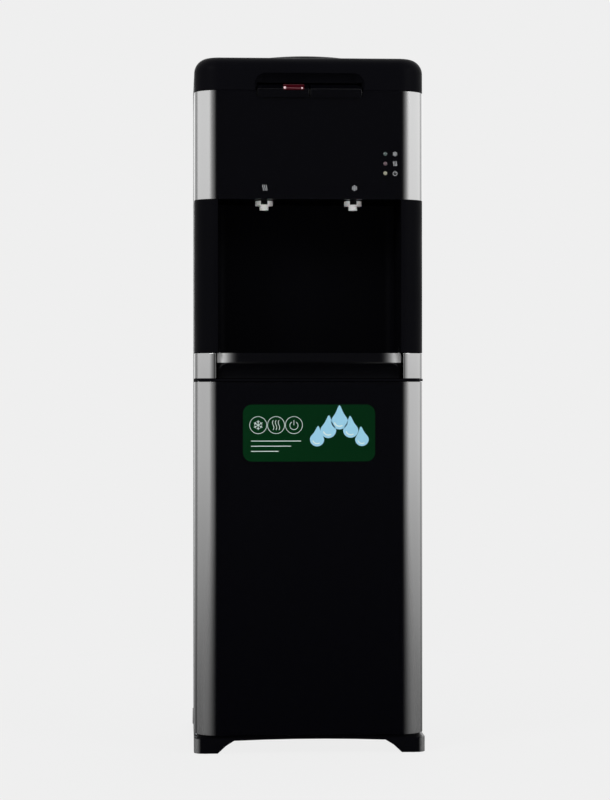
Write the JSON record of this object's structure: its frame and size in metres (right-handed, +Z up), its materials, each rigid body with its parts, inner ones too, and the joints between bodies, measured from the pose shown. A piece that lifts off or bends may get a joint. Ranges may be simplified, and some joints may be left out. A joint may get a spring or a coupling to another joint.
{
  "type": "floor-standing water dispenser",
  "caption": "Tall floor-standing bottled-water dispenser with an open dispensing bay under two press keys, a drip tray, a storage cabinet door and a rear condenser.",
  "frame": {"origin": "centre of the bounding box at floor level", "axes": "+Z up, -Y towards the person using the taps, +X to the viewer's right when facing the front"},
  "size_m": [0.312, 0.325, 0.95],
  "materials": {
    "gloss_black": "high-gloss moulded ABS",
    "satin_black": "fine-textured moulded ABS",
    "key_black": "smooth moulded ABS",
    "tray_black": "smooth moulded ABS",
    "black_sheet": "powder-coated steel sheet",
    "rear_sheet": "powder-coated steel sheet",
    "liner_grey": "vacuum-formed polystyrene",
    "collar_black": "satin moulded polypropylene",
    "probe_white": "food-grade polypropylene",
    "lock_red": "high-gloss moulded ABS",
    "bracket_grey": "moulded polyamide",
    "plated_steel": "zinc-plated steel",
    "acetal_white": "moulded acetal",
    "faucet_black": "moulded polypropylene",
    "nozzle_white": "smooth moulded acetal",
    "lamp_green": "clear tinted lens",
    "lamp_red": "clear tinted lens",
    "lamp_yellow": "clear tinted lens",
    "board_green": "coated glass-fibre board",
    "stainless": "stainless steel sheet",
    "lid_white": "moulded polypropylene",
    "foam_white": "expanded polystyrene",
    "copper": "drawn copper tube",
    "jacket_cream": "heat-proof foam",
    "heater_brown": "mica band in a metal sheath",
    "silicone": "food-grade silicone",
    "label_green": "printed self-adhesive film",
    "catch_white": "moulded plastic",
    "compressor_black": "stoved enamel on pressed steel",
    "rubber_black": "moulded rubber",
    "condenser_black": "painted steel tube and wire",
    "clip_black": "moulded polyamide",
    "switch_red": "moulded polycarbonate",
    "switch_green": "moulded polycarbonate"
  },
  "bodies": {
    "cabinet": {"base_pan": "satin_black", "foot_pads": "rubber_black", "left_side_panel": "black_sheet", "right_side_panel": "black_sheet", "rear_panel": "rear_sheet", "middle_deck": "satin_black", "cabinet_liner": "liner_grey", "band_trims": "gloss_black", "tray_housing": "satin_black", "bay_shell": "satin_black", "upper_front_panel": "gloss_black", "top_cover": "satin_black", "key_pivot_rod": "plated_steel", "key_bracket": "bracket_grey", "hot_valve_spring": "stainless", "cold_valve_spring": "stainless", "hot_faucet": "faucet_black", "cold_faucet": "faucet_black", "nozzles": "nozzle_white", "cooling_lamp": "lamp_green", "heating_lamp": "lamp_red", "power_lamp": "lamp_yellow", "indicator_board": "board_green", "cold_tank": "stainless", "cold_tank_lid": "lid_white", "cold_tank_foam": "foam_white", "evaporator_coil": "copper", "tank_shelf": "plated_steel", "hot_tank": "stainless", "hot_tank_jacket": "jacket_cream", "heater_band": "heater_brown", "water_tubes": "silicone", "door_catch": "catch_white", "top_hinge": "plated_steel", "bottom_hinge": "plated_steel", "compressor": "compressor_black", "compressor_mounts": "rubber_black", "condenser_tube": "condenser_black", "condenser_wires": "condenser_black", "condenser_clips": "clip_black", "refrigerant_pipes": "copper", "panel_screws": "plated_steel", "cord_gland": "clip_black", "switch_housing": "faucet_black", "drain_outlet": "probe_white"},
    "door": {"door_panel": "gloss_black", "door_liner": "liner_grey", "door_label": "label_green"},
    "drip_tray": {"drip_tray": "tray_black"},
    "drip_grille": {"drip_grille": "satin_black"},
    "hot_key": {"hot_key": "key_black"},
    "cold_key": {"cold_key": "key_black"},
    "child_lock": {"child_lock": "lock_red"},
    "hot_push_rod": {"hot_push_rod": "acetal_white"},
    "cold_push_rod": {"cold_push_rod": "acetal_white"},
    "bottle_seat": {"bottle_collar": "collar_black", "feed_probe": "probe_white"},
    "heating_switch": {"heating_switch": "switch_red"},
    "cooling_switch": {"cooling_switch": "switch_green"},
    "drain_cap": {"drain_cap": "clip_black"}
  },
  "joints": [
    {"name": "door_swing", "type": "hinge", "parent": "cabinet", "child": "door", "pos_m": [-0.148, -0.1215, 0.2625], "axis": [0, 0, -1], "range_deg": [0, 110]},
    {"name": "drip_tray_pull", "type": "slide", "parent": "cabinet", "child": "drip_tray", "axis": [0, -1, 0], "range_m": [0, 0.1]},
    {"name": "drip_grille_lift", "type": "slide", "parent": "drip_tray", "child": "drip_grille", "axis": [0, 0, 1], "range_m": [0, 0.03]},
    {"name": "hot_key_press", "type": "hinge", "parent": "cabinet", "child": "hot_key", "pos_m": [-0.0604, -0.0935, 0.88], "axis": [1, 0, 0], "range_deg": [0, 6], "stiffness_Nm_per_rad": 1, "springref_deg": -5.73},
    {"name": "cold_key_press", "type": "hinge", "parent": "cabinet", "child": "cold_key", "pos_m": [0.0604, -0.0935, 0.88], "axis": [1, 0, 0], "range_deg": [0, 6], "stiffness_Nm_per_rad": 1, "springref_deg": -5.73},
    {"name": "child_lock_slide", "type": "slide", "parent": "hot_key", "child": "child_lock", "axis": [0, 1, 0], "range_m": [0, 0.004], "stiffness_N_per_m": 200, "springref_m": -0.003},
    {"name": "hot_valve_open", "type": "slide", "parent": "cabinet", "child": "hot_push_rod", "axis": [0, 0, -1], "range_m": [0, 0.0034], "deforming": ["hot_valve_spring"]},
    {"name": "cold_valve_open", "type": "slide", "parent": "cabinet", "child": "cold_push_rod", "axis": [0, 0, -1], "range_m": [0, 0.0034], "deforming": ["cold_valve_spring"]},
    {"name": "bottle_seat_lift", "type": "slide", "parent": "cabinet", "child": "bottle_seat", "axis": [0, 0, 1], "range_m": [0, 0.03]},
    {"name": "heating_switch_rock", "type": "hinge", "parent": "cabinet", "child": "heating_switch", "pos_m": [0.0738, 0.1295, 0.844], "axis": [-1, 0, 0], "range_deg": [0, 16]},
    {"name": "cooling_switch_rock", "type": "hinge", "parent": "cabinet", "child": "cooling_switch", "pos_m": [0.0942, 0.1295, 0.844], "axis": [-1, 0, 0], "range_deg": [0, 16]},
    {"name": "drain_cap_pull", "type": "slide", "parent": "cabinet", "child": "drain_cap", "axis": [0, 1, 0], "range_m": [0, 0.02]}
  ],
  "couplings": [
    {"joint": "hot_valve_open", "follows": "hot_key_press", "m_per_rad": 0.03194},
    {"joint": "cold_valve_open", "follows": "cold_key_press", "m_per_rad": 0.03194}
  ]
}
